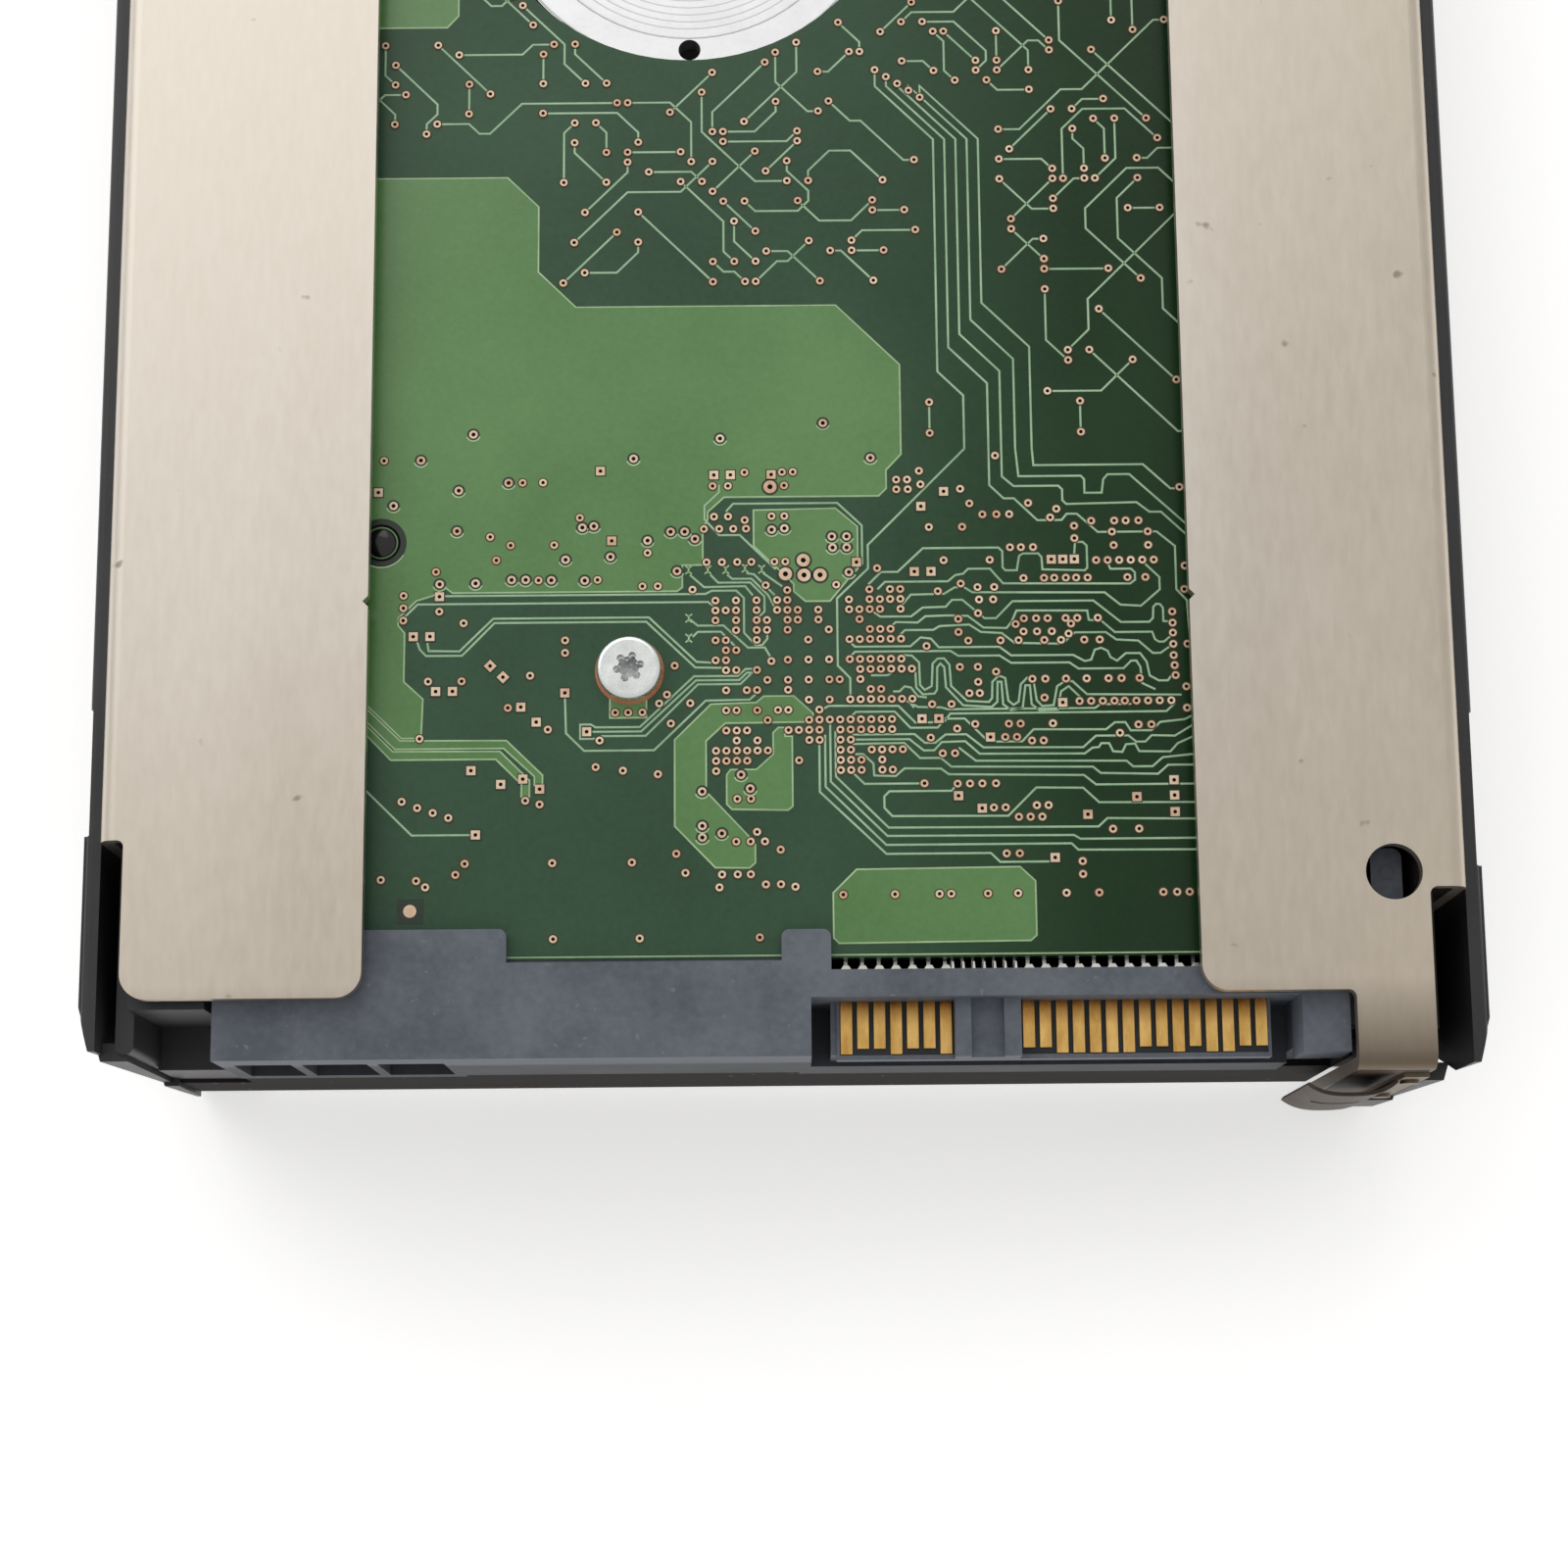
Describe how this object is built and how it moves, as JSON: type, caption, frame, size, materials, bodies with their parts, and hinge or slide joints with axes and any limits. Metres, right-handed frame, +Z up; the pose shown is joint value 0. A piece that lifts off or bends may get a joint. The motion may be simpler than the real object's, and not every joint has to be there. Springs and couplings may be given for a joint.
{
  "type": "hard disk drive",
  "caption": "Hard disk drive in a hot-swap carrier: steel tray, side guide rails, front ejector lever, circuit board up, serial plug at the rear.",
  "frame": {"origin": "centre of the footprint, on the plane that the carrier's lower flanges rest on", "axes": "+Y from the plug end towards the front bezel, +Z up out of the circuit-board side, +X to the right looking along +Y from the plug end"},
  "size_m": [0.109, 0.1678, 0.0281],
  "materials": {
    "tray_steel": "satin, warm nickel-plated sheet",
    "rail_plastic": "matt black moulding",
    "bezel_plastic": "matt charcoal moulding",
    "lever_plastic": "satin grey moulding",
    "catch_plastic": "satin maroon moulding",
    "light_pipe": "clear moulding",
    "cast_aluminium": "dark painted casting",
    "lid_metal": "satin stamped lid",
    "seal_rubber": "matt",
    "screw_steel": "bright plated",
    "spring_steel": "tinted spring steel",
    "board_mask": "dark green solder mask",
    "chip_plastic": "moulded epoxy",
    "foam_sheet": "thin dark foam",
    "connector_plastic": "satin grey moulding",
    "post_plastic": "black moulding",
    "contact_gold": "gold plating",
    "solder_tin": "tinned",
    "copper_wire": "enamelled copper",
    "magnet_nickel": "nickel plating",
    "motor_steel": "machined steel",
    "disk_film": "mirror-smooth film",
    "arm_aluminium": "machined",
    "ramp_plastic": "ivory moulding",
    "filter_fibre": "white fibre",
    "flex_film": "amber film"
  },
  "bodies": {
    "carrier": {"carrier_tray": "tray_steel", "rail_left": "rail_plastic", "rail_right": "rail_plastic", "tray_screws": "screw_steel", "spring_bracket": "tray_steel", "front_bezel": "bezel_plastic", "bezel_screws": "screw_steel", "lever_pin": "screw_steel", "button_spring": "spring_steel", "light_pipes": "light_pipe", "base_casting": "cast_aluminium", "top_cover": "lid_metal", "cover_gasket": "seal_rubber", "cover_screws": "screw_steel", "breather_filter": "filter_fibre", "recirculation_filter": "filter_fibre", "desiccant_pack": "ramp_plastic", "circuit_board": "board_mask", "locating_post": "post_plastic", "board_screws": "screw_steel", "controller_chip": "chip_plastic", "memory_chip": "chip_plastic", "motor_driver_chip": "chip_plastic", "flash_chip": "chip_plastic", "board_insulator": "foam_sheet", "connector_housing": "connector_plastic", "connector_contacts": "contact_gold", "solder_legs": "solder_tin", "motor_bracket": "arm_aluminium", "bearing_sleeve": "motor_steel", "motor_stator": "motor_steel", "motor_windings": "copper_wire", "pivot_shaft": "motor_steel", "load_ramp": "ramp_plastic", "yoke_frame": "magnet_nickel", "coil_magnets": "magnet_nickel", "crash_stops": "seal_rubber", "latch_pin": "motor_steel", "flex_bracket": "post_plastic", "actuator_flex": "flex_film"},
    "lever": {"ejector_lever": "lever_plastic"},
    "catch": {"release_button": "catch_plastic"},
    "ground_leaf": {"grounding_spring": "spring_steel"},
    "spindle": {"spindle_hub": "arm_aluminium", "rotor_magnet": "magnet_nickel", "disk_1": "disk_film", "disk_2": "disk_film", "disk_3": "disk_film", "disk_4": "disk_film", "disk_spacers": "motor_steel", "disk_clamp": "motor_steel", "clamp_screws": "screw_steel"},
    "head_stack": {"actuator_arm": "arm_aluminium", "voice_coil": "copper_wire", "pivot_bearing": "motor_steel", "suspensions": "motor_steel", "head_sliders": "chip_plastic"},
    "shock_latch": {"actuator_latch": "ramp_plastic"}
  },
  "joints": [
    {"name": "lever_hinge", "type": "hinge", "parent": "carrier", "child": "lever", "pos_m": [0.047, 0.0793, 0.01405], "axis": [0, 0, -1], "range_deg": [0, 60]},
    {"name": "catch_slide", "type": "slide", "parent": "carrier", "child": "catch", "axis": [-1, 0, 0], "range_m": [0, 0.002], "stiffness_N_per_m": 300, "springref_m": -0.003, "deforming": ["button_spring"]},
    {"name": "ground_leaf_flex", "type": "hinge", "parent": "carrier", "child": "ground_leaf", "pos_m": [0.0466, -0.0827, 0.019], "axis": [0, 0, -1], "range_deg": [0, 8], "stiffness_Nm_per_rad": 0.1, "springref_deg": -2.86},
    {"name": "spindle_spin", "type": "hinge", "parent": "carrier", "child": "spindle", "pos_m": [-0.007, 0.0173, 0.011], "axis": [0, 0, 1], "continuous": true},
    {"name": "head_swing", "type": "hinge", "parent": "carrier", "child": "head_stack", "pos_m": [0.021, -0.0287, 0.011], "axis": [0, 0, 1], "range_deg": [0, 23.5]},
    {"name": "latch_swing", "type": "hinge", "parent": "carrier", "child": "shock_latch", "pos_m": [-0.0035, -0.0477, 0.0105], "axis": [0, 0, 1], "range_deg": [0, 7]}
  ]
}
